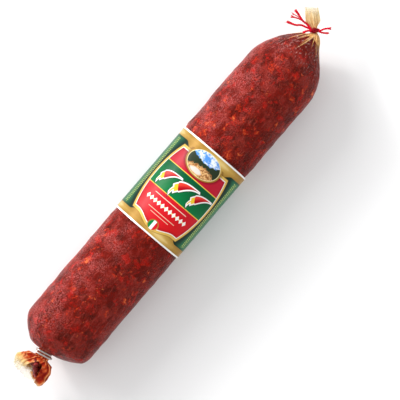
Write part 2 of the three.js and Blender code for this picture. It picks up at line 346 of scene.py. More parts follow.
def casing_surface(outer, share, angle, film):
    """Points of the casing at a share of its length, from the torn end to the cut one."""
    stations = np.interp(outer, share, STATIONS)
    end = torn_end(angle)
    in_tail = stations < CLIP_TAIL
    t = (CLIP_TAIL - stations) / (CLIP_TAIL - CLIP_TAIL_END)
    s = np.where(in_tail, CLIP_TAIL + (end - CLIP_TAIL) * t, stations)
    cut = np.stack([np.cos(angle) * 4, np.sin(angle) * 4, 0 * angle], -1)
    slant = 0.35 * field(cut, 1.1, 8) + 0.9 * np.cos(angle)
    tail = np.clip((stations - TIED_TAIL) / (TIED_TAIL_END - TIED_TAIL), 0, 1)
    s = s + slant * tail
    wide, deep = girth(s)
    # The blunt end swells out over the clip, and the gathered one is slimmer on its right.
    swell = ease(6.5, 9.5, wide) * ease(26, 12, wide) * (s < 0) * ~in_tail
    s = s - swell * (1.2 + 0.55 * np.cos(angle))
    slim = ease(CONE_END - PLEATED, CONE_END - 8, s) * ease(CONE_END + 1, CONE_END - 4, s)
    wide = wide * (1 + 0.14 * slim * np.minimum(np.cos(angle), 0))

    height, mark = gathers(s, angle, wide)
    plain = place_at(s, wide * np.cos(angle), deep * np.sin(angle))
    body = ease(BLUNT_END, BLUNT_END + 10, s) * (1 - ease(CONE_END - PLEATED, CONE_END - 4, s))
    under_label = ease(48.0, 44.5, np.abs(s))  # the label's edge is at 43.5
    coarse = 0.55 * field(plain, 17.0, 1) + 0.42 * field(plain, 7.5, 2)
    stretched = plain * (0.3, 1, 1)
    fine = 0.3 * field(plain, 3.8, 3) + 0.22 * field(stretched, 2.4, 4)
    lumps = (coarse + fine) * body * (1 - 0.9 * under_label)
    # They stand out from the film more than they sink below it.
    lumps = 0.5 * (lumps + np.sqrt(lumps ** 2 + 0.2)) - 0.3 * body - 0.12 * under_label

    neck = ease(CONE_END - 10, CONE_END, s) * (s > 0)
    fluting = 0.09 * np.cos(9 * angle) * neck * (1 - tail)
    # Flat lengthwise pleats in the cut tail, deepest at the twine.
    pleat = 0.1 * np.cos(7 * angle + 1.1) + 0.07 * np.cos(12 * angle + 0.4) + 0.05 * np.cos(19 * angle)
    fluting = fluting + pleat * ease(0, 0.25, tail) * (1.2 - 0.5 * tail)
    # Sharp, uneven folds in the torn tail, and two lobes where the meat in it pushes it out.
    loose = ease(0.0, 0.3, t) * in_tail
    swirl = angle + 0.5 * field(plain, 8.0, 12) * loose
    fold = np.abs((15 * swirl / (2 * np.pi) + 0.2) % 1 - 0.5) * 4 - 1
    fold = 0.65 * fold + 0.4 * (np.abs((26 * swirl / (2 * np.pi)) % 1 - 0.5) * 4 - 1)
    fold = fold + 0.45 * field(plain, 2.6, 10)
    lobe_left = np.exp(-((turned(angle, math.radians(35)) / 0.6) ** 2) - ((t - 0.25) / 0.2) ** 2)
    lobe_right = np.exp(-((turned(angle, math.radians(165)) / 0.7) ** 2) - ((t - 0.2) / 0.25) ** 2)
    fluting = fluting + (0.085 * fold + 0.1 * field(plain, 5.0, 9)) * loose
    fluting = fluting + (0.06 * lobe_left + 0.04 * lobe_right) * in_tail
    near_clip = ease(BLUNT_END + 4, BLUNT_END - 1, s) * (s < 0) * (1 - loose)
    fluting = fluting + 0.07 * np.cos(9 * angle) * near_clip

    wall = np.where(stations > CLIP_TAIL, FILM, FILM * TAIL_FILM)
    in_neck = np.where(s > 0, TIED_WALL, CLIP_WALL)
    gathered = np.maximum(ease(CONE_END - 3, CONE_END, s) * ease(TIED_TAIL + 3, TIED_TAIL, s),
                          ease(BLUNT_END + 3, BLUNT_END, s) * ease(CLIP_TAIL - 4, CLIP_TAIL, s))
    wall = (wall + (in_neck - wall) * gathered) * film
    # The inner side of the film is smoother than the outer one.
    smooth = film > 0
    wide, deep = (half * (1 + fluting) + height * ~smooth + lumps * np.where(smooth, 0.4, 1) - wall
                  for half in (wide, deep))
    left, up = wide * np.cos(angle), deep * np.sin(angle)
    up = np.where(np.abs(s) < LYING_REACH, np.maximum(up, -BELLY + wall), up)
    points = place_at(s, left, up)
    points[:, 2] = np.maximum(points[:, 2], TABLE_GAP)

    # Where the film is empty and bare, where meat has stained it, its frilled edge, the crests of its
    # folds, where painted glints go on its creases, and the painted shade in the grooves between them.
    gone = CONE_END - s
    bare = ease(7.5, 2.0, gone + 2.5 * field(plain, 2.5, 17))
    bare = np.maximum(mark ** 1.25 * ease(38, 12, gone) * (s > 0), bare)
    bare = np.maximum(bare, 0.3 * mark * (s < 0))
    bare = np.maximum(bare, ease(BLUNT_END + 1, BLUNT_END - 2, s))
    patch = 1.6 * field(plain, 6.0, 14) + 1.0 * field(plain, 2.5, 15)
    stain = ease(-1.0, -3.5, left) * ease(-197.5, -194.0, s + patch)
    stain = np.maximum(stain, ease(1.0, 3.5, left) * ease(-190.5, -187.0, s + patch))
    stain = np.maximum(stain, ease(-186.0, -183.0, s + patch))
    stain = np.where(in_tail, stain, ease(-165, -172, s) * (s < 0))
    frill = np.where(in_tail, ease(-189.5, -197.5, s + patch) * (1 - 0.85 * stain), tail)
    ridge = np.where(in_tail, 0.5 + 0.5 * fold, 0.5 + 2.2 * pleat)
    painted_glints = ease(36, 22, gone) * (s > 0) * ease(4, 9, gone) * (0.35 + 0.65 * mark)
    painted_groove_shade = (1 - mark) * ease(32, 8, gone) * ease(1, 5, gone) * (s > 0)
    return points, np.stack([bare, stain, frill, ridge, painted_glints, painted_groove_shade], -1)


def deselect():
    if bpy.context.object and bpy.context.object.mode != "OBJECT":
        bpy.ops.object.mode_set(mode="OBJECT")
    bpy.ops.object.select_all(action="DESELECT")


def rolled_sheet(name, columns, rows, shaped):
    """A flat grid, rolled into its shape by a function of its two shares, and closed where it meets."""
    deselect()
    bpy.ops.mesh.primitive_grid_add(x_subdivisions=columns, y_subdivisions=rows, size=1)
    piece = bpy.context.object
    piece.name = piece.data.name = name
    flat = np.empty(len(piece.data.vertices) * 3)
    piece.data.vertices.foreach_get("co", flat)
    flat = flat.reshape(-1, 3) + 0.5
    points, marks = shaped(flat[:, 0], flat[:, 1])
    piece.data.vertices.foreach_set("co", (points * MM).ravel())
    for label, values in marks.items():
        made = piece.data.attributes.new(label, "FLOAT", "POINT")
        made.data.foreach_set("value", values.astype(np.float32))
    piece.data.update()
    return piece


def turn_faces_out(piece, weld=0.0):
    """Turns every face out, and first joins the points that lie within this distance in metres."""
    deselect()
    piece.select_set(True)
    bpy.context.view_layer.objects.active = piece
    bpy.ops.object.mode_set(mode="EDIT")
    bpy.ops.mesh.select_all(action="SELECT")
    if weld:
        bpy.ops.mesh.remove_doubles(threshold=weld)
    bpy.ops.mesh.normals_make_consistent(inside=False)
    bpy.ops.object.mode_set(mode="OBJECT")


# The rings of the outer side, closer together where the shape is finer, and those of them that the
# inner side follows.
FINE = CONE_END - 40
STATIONS = np.concatenate([
    np.linspace(CLIP_TAIL_END, CLIP_TAIL, 50, endpoint=False),
    np.linspace(CLIP_TAIL, BLUNT_END, 9, endpoint=False),
    BLUNT_END + BLUNT_LENGTH * np.linspace(0, 1, 30, endpoint=False) ** 1.7,
    np.linspace(BLUNT_END + BLUNT_LENGTH, FINE, 172, endpoint=False),
    np.linspace(FINE, CONE_END, 46, endpoint=False),
    np.linspace(CONE_END, TIED_TAIL, 8, endpoint=False),
    np.linspace(TIED_TAIL, TIED_TAIL_END, 30),
])
CLIP_RINGS, TIED_RINGS = 60, len(STATIONS) - 90
INNER = np.concatenate([np.arange(0, CLIP_RINGS, 2), np.arange(CLIP_RINGS, TIED_RINGS, 9),
                        np.arange(TIED_RINGS, len(STATIONS), 3)])
INNER[-1] = len(STATIONS) - 1


def casing_shape(u, v):
    """The whole closed skin: the outside from the torn tail to the cut one, and the inside back."""
    outside, inside = len(STATIONS), len(INNER)
    row = np.rint(v * (outside + inside)).astype(int)
    order = np.concatenate([np.arange(outside), INNER[::-1], [0]])
    film = np.concatenate([np.zeros(outside), np.ones(inside), [0]])
    shares = np.arange(outside, dtype=float)
    angle = (u - 0.25) * 2 * np.pi
    points, marks = casing_surface(order[row].astype(float), shares, angle, film[row])
    return points, dict(zip(SKIN_MARKS, marks.T))


casing = rolled_sheet("casing_skin", AROUND, len(STATIONS) + len(INNER), casing_shape)
turn_faces_out(casing, weld=1e-6)
bpy.ops.object.shade_smooth()

film, tree, shader = new_material("cured natural casing", Specular_IOR_Level=0.06)
place = object_place(tree)
bare, stain, frill, ridge, painted_glints, painted_groove_shade = (
    node(tree, "Attribute", attribute_name=mark).outputs["Fac"] for mark in SKIN_MARKS)
look = meat_look(tree, place)
in_mm = scaled(tree, place, PER_METRE)
long_way = node(tree, "Mapping", {"Vector": in_mm, "Scale": (0.22, 1.0, 1.0)}).outputs[0]
threads = noise_at(tree, long_way, 1 / 1.7, 4.0, 0.6)
grain = noise_at(tree, in_mm, 1 / 0.9, 4.0, 0.65)
mottle = noise_at(tree, in_mm, 1 / 2.6, 3.0, 0.6)
# Paler streaks along the fine lengthwise wrinkles: partly the film's own tone, partly painted glints on
# the wrinkles.
wrinkle_tone_and_glints = share_between(tree, threads, 0.56, 0.72)
colour = blend(tree, times(tree, wrinkle_tone_and_glints, 0.35), look["Colour"], (0.5, 0.085, 0.065))
# Painted sheen: pale pink speckle in patches stands in for glints on the wrinkled film, and it is painted
# far stronger along the lit long side.
painted_sheen = share_between(tree, noise_at(tree, in_mm, 1 / 12.0), 0.36, 0.6)
painted_sheen = times(tree, painted_sheen, share_between(tree, grain, 0.44, 0.66))
colour = blend(tree, times(tree, painted_sheen, 0.2), colour, (0.5, 0.07, 0.05))
# The lit long side, where the painted sheen is strongest.
lit_side = share_between(tree, node(tree, "SeparateXYZ", {0: in_mm}).outputs["Y"], -10.0, 22.0)
painted_sheen = times(tree, times(tree, painted_sheen, lit_side), 0.62)
colour = blend(tree, painted_sheen, colour, (0.62, 0.15, 0.145))
# Painted shade darkens the grooves between the pleats near the neck.
colour = blend(tree, times(tree, painted_groove_shade, 0.6), colour, (0.07, 0.003, 0.001))
# Bare film is amber, cream at its frilled edge, and red where meat has stained it.
crest = plus(tree, ridge, times(tree, sums(tree, "SUBTRACT", mottle, 0.5), 0.7))
crest = share_between(tree, crest, 0.15, 0.85)
amber = blend(tree, crest, (0.68, 0.33, 0.1), (0.92, 0.6, 0.26))
cream = blend(tree, crest, (0.94, 0.74, 0.34), (0.98, 0.86, 0.5))
amber = blend(tree, frill, amber, cream)
red = blend(tree, crest, (0.3, 0.01, 0.005), (0.76, 0.11, 0.022))
red = blend(tree, share_between(tree, crest, 0.75, 1.0), red, (0.85, 0.32, 0.12))
amber = blend(tree, stain, amber, red)
colour = blend(tree, share_between(tree, bare, 0.15, 0.85), colour, amber)
# Painted glints: pale pink flecks on the creases near the neck.
painted_glints = times(tree, painted_glints, share_between(tree, threads, 0.55, 0.66))
colour = blend(tree, times(tree, painted_glints, 0.85), colour, (0.82, 0.55, 0.5))
rough = sums(tree, "SUBTRACT", plus(tree, times(tree, grain, 0.3), 0.14), times(tree, bare, 0.12))
# The frill is thin enough to see through, but for its stains.
clear = times(tree, times(tree, bare, frill), 0.85)
clear = times(tree, clear, sums(tree, "SUBTRACT", 1.0, times(tree, stain, 0.7)))
tree.links.new(sums(tree, "SUBTRACT", 1.0, clear), shader.inputs["Alpha"])
height = look["Height"]
for layer, weight in ((threads, 0.8), (grain, 0.7), (mottle, 1.1)):
    height = plus(tree, height, times(tree, layer, weight))
surface(tree, shader, colour, rough, height, 0.85, 0.0013)
casing.data.materials.append(film)
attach(casing, "root")
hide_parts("casing")

# ---- Meat caught in the tail --------------------------------------------------------------------
# When the clip was closed, some of the meat was left on its outer side. It has dried to a few
# dark, wrinkled lumps that stick together in the torn tail, where the film no longer covers them.

deselect()
for along, left, up, size in (
    (-184.6, 2.6, 2.2, (3.2, 3.3, 4.8)),
    (-186.6, 0.0, 2.4, (3.5, 3.3, 5.0)),
    (-189.2, -3.2, 1.8, (3.3, 3.1, 4.6)),
    (-191.8, -5.8, 0.4, (2.6, 2.6, 3.6)),
    (-184.6, 6.6, -1.4, (3.2, 3.2, 3.2)),
    (-185.6, -6.4, -1.6, (3.6, 3.4, 3.0)),
    (-187.0, 2.8, -2.4, (3.2, 3.4, 2.8)),
):
    bpy.ops.mesh.primitive_ico_sphere_add(subdivisions=4, radius=MM)
    lump = bpy.context.object
    lump.scale = size
    lump.location = place_at(np.array(along), left, up) * MM
residue = lump
for o in bpy.data.objects:
    if o.type == "MESH" and o.name.startswith("Icosphere"):
        o.select_set(True)
bpy.ops.object.join()
bpy.ops.object.transform_apply()
residue.name = residue.data.name = "tail_meat"
residue.data.remesh_voxel_size = 0.35 * MM
bpy.ops.object.voxel_remesh()
points = np.empty(len(residue.data.vertices) * 3)
normals = points.copy()
residue.data.vertices.foreach_get("co", points)
residue.data.vertices.foreach_get("normal", normals)
points, normals = points.reshape(-1, 3) / MM, normals.reshape(-1, 3)
swell = 0.75 * field(points, 3.4, 31) + 0.4 * field(points, 1.5, 32) - 0.3
residue.data.vertices.foreach_set("co", ((points + normals * swell[:, None]) * MM).ravel())
residue.data.update()
bpy.ops.object.shade_smooth()
dried, tree, shader = new_material("dried meat in the tail", Specular_IOR_Level=0.25)
look = meat_look(tree, object_place(tree), fat=0.4, dark=(0.07, 0.003, 0.001),
                 lean=(0.17, 0.008, 0.005), bright=(0.45, 0.03, 0.03), dull=(0.26, 0.02, 0.024))
rough = share_between(tree, look["Height"], -0.8, 2.2)
surface(tree, shader, look["Colour"], rough, look["Height"], 0.7, 0.0006)
residue.data.materials.append(dried)
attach(residue, "root")
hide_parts("tail_filling")

# ---- Wire clip ----------------------------------------------------------------------------------
# A bright aluminium wire, pressed flat round the neck by the stuffing machine: once round and on
# over the top, so that its two rounded ends lie side by side, each bedded in the pleats.

WIRE = 1.8
CLIP_TILT = math.tan(math.radians(8))
CLIP_WIDE, CLIP_DEEP = 7.3, 3.6  # half the wire's loop, to the middle of the wire
CLIP_LANES = 2.65  # from one leg over the top to the other
DOME_RINGS = 5  # of a rod's rounded end
LEAST_REACH = 0.02  # of a ring, as a share of the rod's, so that no ring shrinks to a point


def swept_rod(name, points, thick, sides=16, flat=1.0):
    """A closed rod along points in mm, with domed ends: a circle, extruded from point to point."""
    points = np.asarray(points, float)
    ways = np.gradient(points, axis=0)
    ways /= np.linalg.norm(ways, axis=1)[:, None]
    dome = np.sin(np.linspace(0, np.pi / 2, DOME_RINGS))
    spots = [points[0] - ways[0] * thick * d for d in dome[:0:-1]] + list(points)
    spots += [points[-1] + ways[-1] * thick * d for d in dome[1:]]
    heads = [ways[0]] * (DOME_RINGS - 1) + list(ways) + [ways[-1]] * (DOME_RINGS - 1)
    tip = list(np.sqrt(1 - dome[1:] ** 2))
    wide = tip[::-1] + [1] * len(points) + tip
    deselect()
    bpy.ops.mesh.primitive_circle_add(vertices=sides, radius=thick * MM, fill_type="NOTHING")
    rod = bpy.context.object
    rod.name = rod.data.name = name
    bpy.ops.object.mode_set(mode="EDIT")
    bpy.ops.mesh.select_all(action="SELECT")
    for _ in spots[1:]:
        bpy.ops.mesh.extrude_region_move()
    bpy.ops.object.mode_set(mode="OBJECT")
    side = np.cross(heads[0], (0, 0, 1))
    side /= np.linalg.norm(side)
    turn = 2 * np.pi * np.arange(sides)[:, None] / sides
    rings = []
    for spot, head, reach in zip(spots, heads, wide):
        side = side - head * np.dot(side, head)
        side /= np.linalg.norm(side)
        section = np.cos(turn) * side + flat * np.sin(turn) * np.cross(head, side)
        rings.append(spot + thick * max(reach, LEAST_REACH) * section)
    rod.data.vertices.foreach_set("co", (np.concatenate(rings) * MM).ravel())
    rod.data.update()
    bpy.ops.object.mode_set(mode="EDIT")
    bpy.ops.mesh.select_all(action="DESELECT")
    bpy.ops.mesh.select_non_manifold()
    bpy.ops.mesh.fill_holes(sides=0)
    bpy.ops.mesh.select_all(action="SELECT")
    bpy.ops.mesh.normals_make_consistent(inside=False)
    bpy.ops.object.mode_set(mode="OBJECT")
    bpy.ops.object.shade_smooth()
    return rod


def squarish(value):
    return np.sign(value) * np.abs(value) ** 0.7


t = np.linspace(0, 1, 110)
turn = np.radians(130 - 440 * t)
lane = (0.5 - ease(0.3, 0.7, t)) * CLIP_LANES
left = CLIP_WIDE * squarish(np.cos(turn))
route = place_at(CLIP + lane - left * CLIP_TILT, left, CLIP_DEEP * squarish(np.sin(turn)))
clip = swept_rod("closing_clip", route, WIRE / 2, 20, 0.9)
wire, tree, shader = new_material("bright aluminium wire", Metallic=1.0)
place = object_place(tree)
drawn = node(tree, "Mapping", {"Vector": place, "Scale": (2500.0, 260.0, 2500.0)}).outputs[0]
drawn = noise_at(tree, drawn, 1.0, 4.0)
spots = noise_at(tree, place, 900.0, 3.0)
grey = blend(tree, share_between(tree, drawn, 0.3, 0.7), (0.4, 0.35, 0.32), (0.7, 0.65, 0.62))
# Some fat has smeared it.
smear = times(tree, share_between(tree, spots, 0.58, 0.72), 0.5)
grey = blend(tree, smear, grey, (0.36, 0.16, 0.11))
surface(tree, shader, grey, plus(tree, times(tree, spots, 0.25), 0.34), drawn, 0.2, 0.0001)
clip.data.materials.append(wire)
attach(clip, "root")
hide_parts("end_clip")

# ---- Twine --------------------------------------------------------------------------------------
# Red cotton twine of two plies, wound twice round the gathered neck and knotted on top. Its ends
# were left long, and where they were cut the plies have opened and frayed.

PLY = 0.52  # half the thickness of one ply
TWIST = 3.2  # length of one whole turn of the plies
NECK_REACH = 3.3  # from the middle of the neck to the middle of the twine
WINDING_STEP = 1.9  # how far the winding goes along the neck in its two turns
KNOT_RISE = 2.48 + 1.3  # over the middle of the neck: the neck's own reach, and half the knot
KNOT_LOOP, KNOT_TALL = 0.62, 0.75
FIBRES = 7  # that stand out of each cut end
FIBRE = 0.09  # half the thickness of one


def smooth_route(points, step=0.22):
    """Even points on a smooth curve through the given ones, in mm."""
    given = np.asarray(points, float)
    ends = np.vstack([2 * given[0] - given[1], given, 2 * given[-1] - given[-2]])
    found = []
    for a, b, c, d in zip(ends, ends[1:], ends[2:], ends[3:]):
        count = max(2, int(np.linalg.norm(c - b) / step))
        t = np.linspace(0, 1, count, endpoint=False)[:, None]
        found.append(0.5 * (2 * b + (c - a) * t + (2 * a - 5 * b + 4 * c - d) * t ** 2
                            + (3 * b - a - 3 * c + d) * t ** 3))
    return np.vstack([*found, given[-1:]])


def plies(name, points, opened=0.0, slim=1.0):
    """Two plies twisted round a route. Towards the end they open by this many millimetres."""
    route = smooth_route(points)
    ways = np.gradient(route, axis=0)
    steps = np.linalg.norm(ways, axis=1)
    ways /= steps[:, None]
    side = np.cross(ways, (0.05, 0.03, 1.0))
    side /= np.linalg.norm(side, axis=1)[:, None]
    up = np.cross(ways, side)
    turn = 2 * np.pi * np.cumsum(steps) / TWIST
    share = np.linspace(0, 1, len(route))
    apart = PLY * 0.9 * slim + opened * ease(0.75, 1.0, share)
    made = []
    for number in (0, 1):
        angle = (turn * (1 - 0.4 * ease(0.8, 1, share)) + np.pi * number)[:, None]
        spots = route + apart[:, None] * (np.cos(angle) * side + np.sin(angle) * up)
        made.append(swept_rod(name, spots, PLY * slim, 8))
    return made


knot_at = place_at(np.array(TIE), 0.0, KNOT_RISE)
heading = float(middle_line(np.array(TIE))[2])
ahead = np.array((math.cos(heading), math.sin(heading), 0))
across = np.array((-math.sin(heading), math.cos(heading), 0))
upward = np.array((0, 0, 1))
middle = place_at(np.array(TIE), 0.0, 0.0)
winding = [middle + ahead * (a / (4 * np.pi) - 0.5) * WINDING_STEP
           + NECK_REACH * (math.cos(a) * upward + math.sin(a) * across)
           for a in np.linspace(-0.1, 4 * np.pi + 0.1, 60)]
knot = [knot_at + ahead * KNOT_LOOP * (math.sin(a) + 2 * math.sin(2 * a))
        + across * KNOT_LOOP * (math.cos(a) - 2 * math.cos(2 * a))
        + upward * KNOT_TALL * math.sin(3 * a)
        for a in np.linspace(0, 2 * np.pi, 40)]
strands = plies("twine", winding) + plies("twine", knot)
# The free ends from the knot out, how far each one's plies open, and how thick it is. The two that
# start further out are plies that have parted from the first.
for points, opened, slim in (
    (((0, 0, 0), (-1.1, 3.2, 0.2), (-0.4, 8.8, 0.8), (-0.6, 12.8, 1.6), (1.3, 19.4, 2), (2, 23, 2.6)),
     0.25, 1),
    (((-0.6, 12.8, 1.6), (-1.7, 17, 2.2), (-4.1, 22.3, 2.2)), 0.5, 0.72),
    (((-0.2, 14.5, 1.8), (-0.7, 18.6, 2.7), (-1.7, 22.8, 3.2)), 0.3, 0.5),
    (((0, 0, 0), (-2.6, 6.9, 0), (-4.1, 11.5, 0.4), (-7.1, 15.2, 1.2), (-9.5, 21.9, 1)), 0.35, 1),
    (((0, 0, 0), (-4.4, 4.4, 1.2), (-7.8, 6.2, 2)), 0.2, 0.95),
    (((0, 0, 0), (2.2, -3.1, -0.2), (6.3, -5.4, 0.6), (9.6, -8.8, 0.8)), 0.3, 0.9),
    (((0, 0, 0), (1.6, -3.4, -0.4), (2.7, -6.1, -1), (5.5, -9.9, -1.4)), 0.25, 0.9),
):
    route = [knot_at + np.array(p) for p in points]
    strands += plies("twine", route, opened, slim)
    # Loose fibres stand out of the cut end.
    way = np.array(points[-1], float) - points[-2]
    way /= np.linalg.norm(way)
    for _ in range(FIBRES):
        lean = chance.normal(0, 0.35, 3)
        half = chance.uniform(0.7, 1.6) * 0.5
        root = route[-1] - way * 0.5 + chance.normal(0, 0.2, 3)
        bend = root + (way + lean) * half
        fibre = [root, bend, bend + (way + 1.8 * lean) * half]
        strands.append(swept_rod("twine", fibre, FIBRE, 5))
deselect()
for strand in strands:
    strand.select_set(True)
twine = strands[0]
bpy.context.view_layer.objects.active = twine
bpy.ops.object.join()
twine.name = twine.data.name = "tying_twine"
cotton, tree, shader = new_material("red cotton twine", Specular_IOR_Level=0.15)
place = object_place(tree)
fibres = noise_at(tree, place, 2600.0, 4.0, 0.7)
red = blend(tree, share_between(tree, fibres, 0.35, 0.65), (0.46, 0.0, 0.012), (0.92, 0.002, 0.03))
stains = times(tree, share_between(tree, noise_at(tree, place, 160.0), 0.45, 0.65), 0.35)
red = blend(tree, stains, red, (0.4, 0.0, 0.01))
# It is darker round the knot.
away = node(tree, "VectorMath", {0: place, 1: tuple(knot_at * MM)}, operation="DISTANCE")
near_knot = share_between(tree, away.outputs["Value"], 0.0045, 0.002)
red = blend(tree, near_knot, red, (0.22, 0.002, 0.008))
surface(tree, shader, red, share_between(tree, fibres, -1.2, 1.1), fibres, 0.8, 0.0002)
twine.data.materials.append(cotton)
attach(twine, "root")
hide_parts("tie_string")

# ---- Label --------------------------------------------------------------------------------------
# A band of thin varnished paper, printed in green, red and gold, drawn tight round the middle and
# glued to itself low down on one side. Its pattern is a plain one of this model's own.

label_low, label_high = (Vector(c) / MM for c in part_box("label"))
LABEL_WIDE = label_high.x - label_low.x
LABEL_REACH = label_high.y  # from the middle line to the face of the paper
PAPER = 0.18
LAP_START, LAP_LENGTH = math.radians(-140.0), 10.0
WAY_ROUND = 2 * np.pi + LAP_LENGTH / LABEL_REACH  # of the whole band, in radians
LABEL_COLUMNS, LABEL_ROWS = 300, 56
LIFTED_EDGE, LIFT = 5, 0.16  # how far in from its edge the paper curls off the casing, and by how much
PRINT_SCALE = 100.0  # millimetres to one unit of the printed map


def label_shape(u, v):
    """Once round and on over its own start, with the slight waves and dents of paper on meat."""
    angle = LAP_START + u * WAY_ROUND
    s = label_low.x + v * LABEL_WIDE
    plain = np.stack([s, LABEL_REACH * np.cos(angle), LABEL_REACH * np.sin(angle)], -1)
    waves = 0.1 * field(plain * (0.35, 1, 1), 9.0, 41) + 0.06 * field(plain, 5.0, 42)
    lifted = np.clip((np.abs(s) - LABEL_WIDE / 2 + LIFTED_EDGE) / LIFTED_EDGE, 0, 1)
    over = (PAPER + 0.15) * ease(2 * np.pi - 0.1, 2 * np.pi + 0.02, angle - LAP_START)
    reach = LABEL_REACH - PAPER + waves + LIFT * lifted ** 2 + over
    left, up = reach * np.cos(angle), reach * np.sin(angle)
    up = np.maximum(up, PAPER - AXIS_HEIGHT)
    return np.stack([s, left, up + AXIS_HEIGHT], -1), {}


label = rolled_sheet("paper_band", LABEL_COLUMNS, LABEL_ROWS, label_shape)
flat = label.data.uv_layers.new(name="print")
corners = np.empty(len(label.data.loops), int)
label.data.loops.foreach_get("vertex_index", corners)
row, column = np.divmod(corners, LABEL_COLUMNS + 1)
round_angle = LAP_START + column / LABEL_COLUMNS * WAY_ROUND
flat_mm = np.stack([(round_angle - np.pi / 2) * LABEL_REACH, (row / LABEL_ROWS - 0.5) * LABEL_WIDE], -1)
flat.data.foreach_set("uv", (flat_mm / PRINT_SCALE).ravel())
turn_faces_out(label)
bpy.ops.object.modifier_add(type="SOLIDIFY")
label.modifiers[0].thickness = PAPER * MM
label.modifiers[0].offset = 1
bpy.ops.object.modifier_apply(modifier=label.modifiers[0].name)
bpy.ops.object.shade_smooth_by_angle(angle=math.radians(40))

printed, tree, shader = new_material("printed varnished paper", Specular_IOR_Level=0.12)


class Ink:
    """A printed pattern's value over the flat label, in mm, written as plain sums."""

    def __init__(self, socket):
        self.socket = socket

    def sum(self, operation, *others):
        values = [v.socket if isinstance(v, Ink) else v for v in (self, *others)]
        return Ink(sums(tree, operation, *values))

    def __add__(self, other):
        return self.sum("ADD", other)

    def __sub__(self, other):
        return self.sum("SUBTRACT", other)

    def __mul__(self, other):
        return self.sum("MULTIPLY", other)

    def __neg__(self):
        return self * -1.0

    def __abs__(self):
        return self.sum("ABSOLUTE")

    def least(self, other):
        return self.sum("MINIMUM", other)

    def most(self, other):
        return self.sum("MAXIMUM", other)

    def far(self, other):
        """How far a point is from the middle, where these are its two distances."""
        return (self * self + other * other).sum("SQRT")

    def step(self, low, high):
        return Ink(share_between(tree, self.socket, low, high))

    def fill(self, soft=0.12):
        """1 where the value is over 0, with an edge this soft."""
        return self.step(-soft, soft)


def print_over(below, colour, mask, strength=1.0):
    mask = mask * strength if strength != 1.0 else mask
    return blend(tree, mask.socket, below, colour)


def around(x, y, at, angle):
    """The two distances from a point, along a direction and across it."""
    cos, sin = math.cos(angle), math.sin(angle)
    dx, dy = x - at[0], y - at[1]
    return dx * cos + dy * sin, dy * cos - dx * sin


# Where things stand on the label: across the sausage from its middle, or along it, in mm.
SHIELD_WAIST, SHIELD_CURVE = 33.2, 0.0072
SHIELD_TOP, SHIELD_FOOT = 32.2, 38.9
RED_EDGE = 2.65  # in from the shield's own edge
SASH_AT, SASH_HALF = 3.3, 11.6
RULES = (  # each one's place, half its thickness, half its length, its colour and its strength
    (-12.4, 0.3, 17.0, (0.9, 0.78, 0.62), 0.85),
    (-24.4, 0.25, 14.0, (0.9, 0.7, 0.5), 0.8),
    (-27.0, 0.25, 9.5, (0.9, 0.7, 0.5), 0.7),
)
GEMS_AT, GEMS_HALF = -18.2, 21.8
OVAL_AT, OVAL_WIDE, OVAL_HIGH = 29.0, 17.4, 12.1
SEAL_AT, SEAL_RIM, SEAL_REACH, SEAL_STRIPE = -35.1, 4.9, 4.1, 1.35
BAND_EDGE, BARE_EDGE = 32.0, 42.1
BACK_AT, BACK_HALF = 78.0, 22.0

flat = scaled(tree, node(tree, "UVMap", uv_map="print").outputs[0], PRINT_SCALE)
split = node(tree, "SeparateXYZ", {0: flat})
x, y = Ink(split.outputs["X"]), Ink(split.outputs["Y"])
wide, high = abs(x), abs(y)
speckle = Ink(noise_at(tree, flat, 0.5, 5.0, 0.6))
cloud = Ink(noise_at(tree, flat, 0.16, 4.0, 0.55))

# The shield in the middle: a red panel, wider at its waist, with a curly bracket for its foot.
waist = -(y * y * SHIELD_CURVE) + SHIELD_WAIST
foot = wide.step(2.0, 19.0) * 5.4 - SHIELD_FOOT
inside = (waist - wide).least(y - foot).least(-(y - SHIELD_TOP))

green = print_over((0.002, 0.075, 0.03), (0.006, 0.12, 0.05), cloud.step(0.3, 0.7))
# Painted light: the green is paler in a band along each side, as if lit where the band curves away towards
# the outline.
light = wide.step(31, 40) * wide.step(54, 44)
green = print_over(green, (0.06, 0.26, 0.11), light, 0.36)
colour = print_over(green, (0.0, 0.014, 0.01), (inside + 9.0).step(0, 7.5) * (-inside).fill(), 0.92)
# Rows of short dashes along both sides, and fine lines round the back.
for row, seed in ((36.6, 0.0), (39.4, 3.3)):
    beat = (y * 0.59 + seed).sum("FRACT")
    drawn = (beat - 0.42).fill(0.1) * (-(abs(wide - row) - 0.95)).fill(0.2)
    colour = print_over(colour, (0.5, 0.62, 0.16), drawn * high.step(34.5, 34.0), 0.75)
back = -(abs(wide - BACK_AT) - BACK_HALF)
lines = abs((x * 0.25).sum("PINGPONG", 1.0) - 0.5).step(0.1, 0.0)
colour = print_over(colour, (0.06, 0.3, 0.15), back.fill() * lines * high.step(30.5, 30.0), 0.6)

# Gold bands along both edges, whose inner edge runs in to the corners of the shield.
sheen = (x * 0.115 + speckle * 0.6).sum("SINE") * 0.5 + 0.5
sheen = sheen + abs(high - 39.0) * -0.12 + 0.2
gold = print_over((0.34, 0.18, 0.025), (0.58, 0.36, 0.08), sheen.step(0.0, 1.0))
gold = print_over(gold, (0.78, 0.58, 0.22), sheen.step(0.8, 1.2))
band = high - (wide.step(18.0, 27.0) * 4.2 + BAND_EDGE)
colour = print_over(colour, (0.0, 0.02, 0.01), (band + 2.2).step(0, 2.2) * (-band).fill(), 0.6)
colour = print_over(colour, gold, band.fill())
